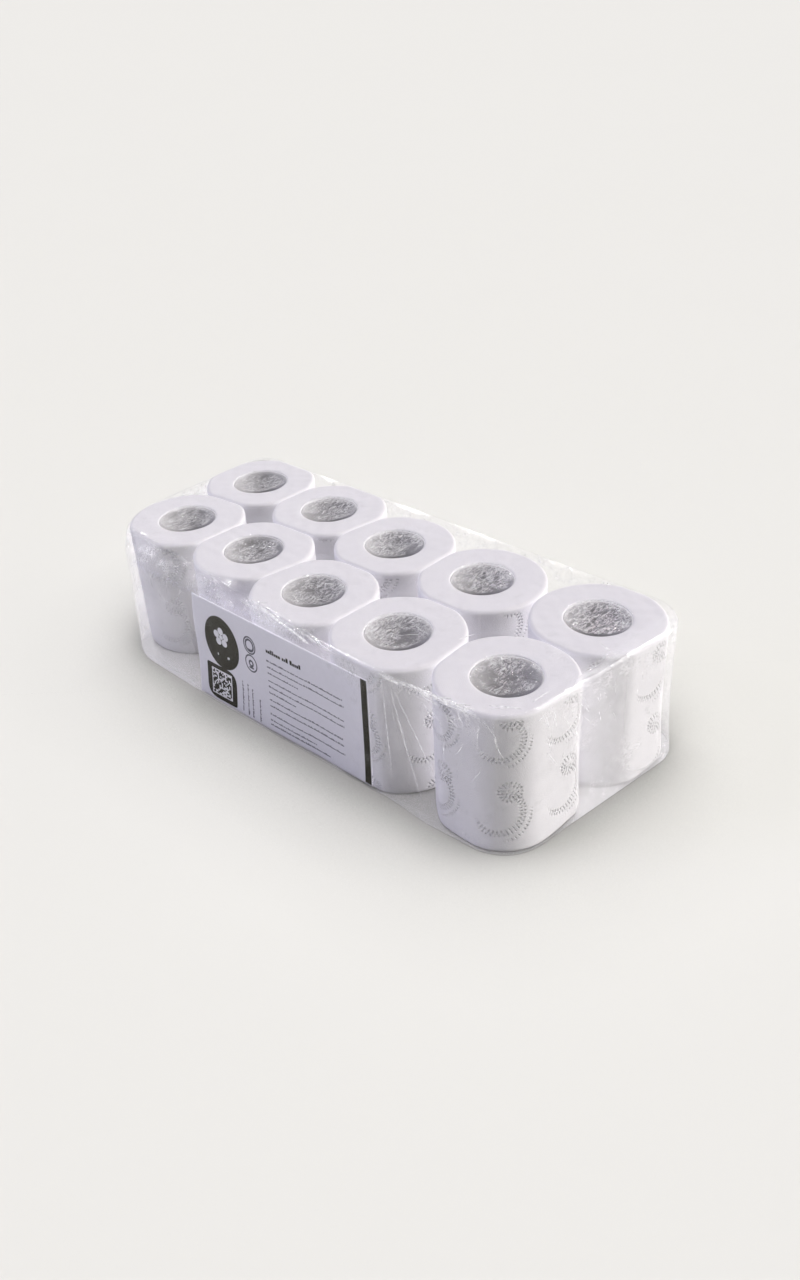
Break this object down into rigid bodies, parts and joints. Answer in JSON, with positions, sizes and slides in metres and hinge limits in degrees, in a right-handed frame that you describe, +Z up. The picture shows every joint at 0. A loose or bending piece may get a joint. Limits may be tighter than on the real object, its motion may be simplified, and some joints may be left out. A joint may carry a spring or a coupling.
{
  "type": "toilet paper roll pack",
  "caption": "Film-wrapped pack of toilet paper rolls standing on end in two rows, with cardboard cores and a paper label on its long front side.",
  "frame": {"origin": "on the floor under the middle of the pack", "axes": "+X along the rows of rolls, -Y out of the label side, +Z up along the rolls' cores"},
  "size_m": [0.431, 0.189, 0.1005],
  "materials": {
    "tissue": "soft white embossed tissue",
    "core_board": "grey board, matt",
    "label_paper": "smooth white paper with dark olive print",
    "clear_film": "clear glossy film"
  },
  "bodies": {
    "root": {"roll_front_1": "tissue", "roll_front_2": "tissue", "roll_front_3": "tissue", "roll_front_4": "tissue", "roll_front_5": "tissue", "roll_back_1": "tissue", "roll_back_2": "tissue", "roll_back_3": "tissue", "roll_back_4": "tissue", "roll_back_5": "tissue", "core_front_1": "core_board", "core_front_2": "core_board", "core_front_3": "core_board", "core_front_4": "core_board", "core_front_5": "core_board", "core_back_1": "core_board", "core_back_2": "core_board", "core_back_3": "core_board", "core_back_4": "core_board", "core_back_5": "core_board", "label": "label_paper", "film_wrap": "clear_film"}
  },
  "joints": []
}
